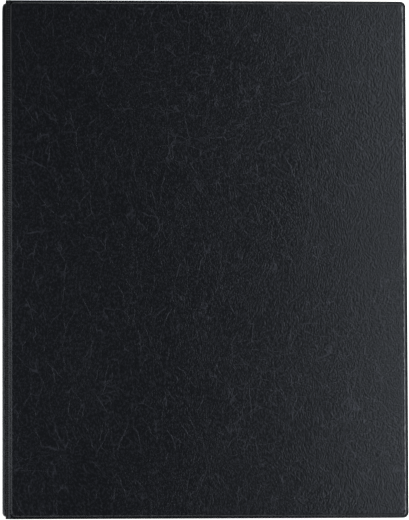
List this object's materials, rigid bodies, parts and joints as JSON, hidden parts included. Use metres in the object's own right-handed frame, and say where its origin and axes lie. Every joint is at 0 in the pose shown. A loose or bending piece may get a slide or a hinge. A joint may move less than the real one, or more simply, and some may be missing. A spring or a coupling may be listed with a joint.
{
  "type": "ring binder",
  "caption": "A4 ring binder with leather-grained vinyl covers that fold at welded hinges, and a lever-opened ring mechanism riveted inside the spine.",
  "frame": {"origin": "centre of the closed binder's footprint, in the plane of the back cover's outer face", "axes": "+Y along the spine towards the top edge, +X from the spine to the fore edge, +Z from the back cover to the front cover"},
  "size_m": [0.25, 0.32, 0.04],
  "materials": {
    "grained_vinyl": "near-black vinyl with a leather grain and a soft sheen",
    "smooth_vinyl": "near-black smooth vinyl lining",
    "board": "raw grey board",
    "bright_nickel": "bright nickel plate",
    "blade_steel": "plain rolled steel"
  },
  "bodies": {
    "back_cover": {"back_outer_vinyl": "grained_vinyl", "back_board": "board", "back_lining": "smooth_vinyl"},
    "spine": {"spine_outer_vinyl": "grained_vinyl", "spine_board": "board", "spine_lining": "smooth_vinyl", "ring_housing": "bright_nickel", "top_rivet": "bright_nickel", "bottom_rivet": "bright_nickel"},
    "front_cover": {"front_outer_vinyl": "grained_vinyl", "front_board": "board", "front_lining": "smooth_vinyl"},
    "front_rings": {"front_blade": "blade_steel", "front_half_ring_1": "bright_nickel", "front_half_ring_2": "bright_nickel", "front_half_ring_3": "bright_nickel", "front_half_ring_4": "bright_nickel"},
    "back_rings": {"back_blade": "blade_steel", "back_half_ring_1": "bright_nickel", "back_half_ring_2": "bright_nickel", "back_half_ring_3": "bright_nickel", "back_half_ring_4": "bright_nickel"},
    "top_lever": {"top_lever": "bright_nickel"},
    "bottom_lever": {"bottom_lever": "bright_nickel"}
  },
  "joints": [
    {"name": "spine_fold", "type": "hinge", "parent": "back_cover", "child": "spine", "pos_m": [-0.1224, 0, 0.0026], "axis": [0, -1, 0], "range_deg": [0, 90]},
    {"name": "front_cover_fold", "type": "hinge", "parent": "spine", "child": "front_cover", "pos_m": [-0.1224, 0, 0.0374], "axis": [0, -1, 0], "range_deg": [0, 90]},
    {"name": "ring_opening", "type": "hinge", "parent": "spine", "child": "front_rings", "pos_m": [-0.11915, 0, 0.029], "axis": [0, -1, 0], "range_deg": [0, 10]},
    {"name": "back_ring_opening", "type": "hinge", "parent": "spine", "child": "back_rings", "pos_m": [-0.11915, 0, 0.011], "axis": [0, 1, 0], "range_deg": [0, 10]},
    {"name": "top_lever_push", "type": "hinge", "parent": "spine", "child": "top_lever", "pos_m": [-0.11915, 0.1391, 0.02], "axis": [0, 0, 1], "range_deg": [0, 30]},
    {"name": "bottom_lever_push", "type": "hinge", "parent": "spine", "child": "bottom_lever", "pos_m": [-0.11915, -0.1391, 0.02], "axis": [0, 0, -1], "range_deg": [0, 30]}
  ],
  "couplings": [
    {"joint": "back_ring_opening", "follows": "ring_opening", "ratio": 1},
    {"joint": "top_lever_push", "follows": "ring_opening", "ratio": 3},
    {"joint": "bottom_lever_push", "follows": "ring_opening", "ratio": 3}
  ]
}
